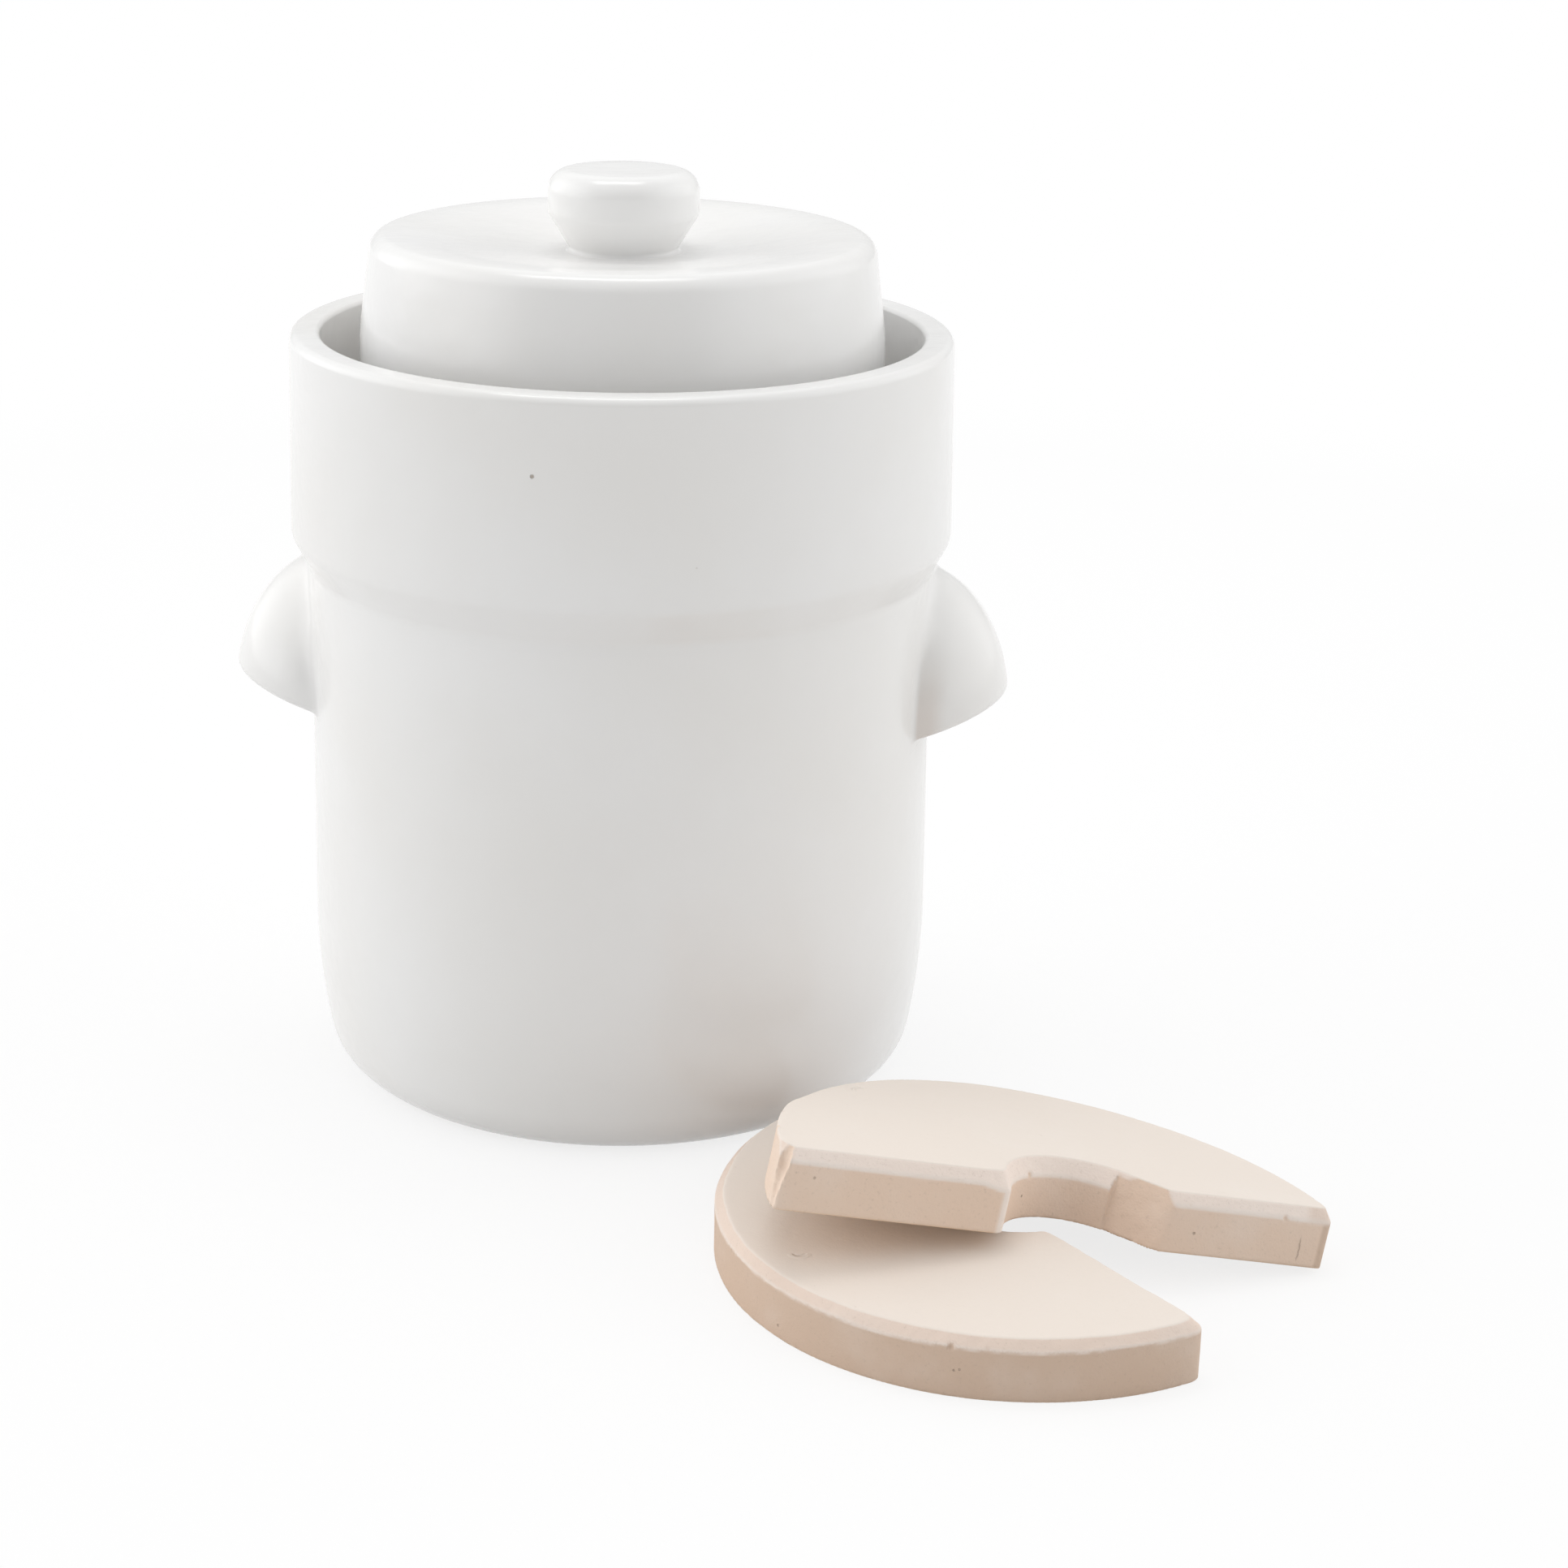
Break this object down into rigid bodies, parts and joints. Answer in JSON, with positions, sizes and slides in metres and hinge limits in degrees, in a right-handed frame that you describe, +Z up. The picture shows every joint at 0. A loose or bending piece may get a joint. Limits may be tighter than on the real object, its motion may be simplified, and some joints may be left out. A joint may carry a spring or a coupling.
{
  "type": "water seal pickle jar",
  "caption": "Round stoneware pickling crock with a water gutter round its mouth, lug handles, a tall lid that stands in the gutter, and notched half-moon weight stones.",
  "frame": {"origin": "centre of the crock's flat foot, on the floor", "axes": "+Z up, through the lid's knob; +X and -X through the lug handles; -Y faces the viewer"},
  "size_m": [0.2835, 0.2815, 0.242],
  "materials": {
    "white_glaze": "warm white gloss glaze over stoneware",
    "unglazed_clay": "dry, pinkish fired clay"
  },
  "bodies": {
    "crock": {"crock_body": "white_glaze", "left_handle": "white_glaze", "right_handle": "white_glaze"},
    "lid": {"lid_shell": "white_glaze", "lid_knob": "white_glaze"},
    "lower_stone": {"lower_weight_stone": "unglazed_clay"},
    "upper_stone": {"upper_weight_stone": "unglazed_clay"}
  },
  "joints": [
    {"name": "lid_lift", "type": "slide", "parent": "crock", "child": "lid", "axis": [0, 0, 1], "range_m": [0, 0.12]},
    {"name": "lower_stone_lift", "type": "slide", "parent": "crock", "child": "lower_stone", "axis": [0, 0, 1], "range_m": [0, 0.08]},
    {"name": "upper_stone_lift", "type": "slide", "parent": "lower_stone", "child": "upper_stone", "axis": [0, 0, 1], "range_m": [0, 0.08]}
  ]
}
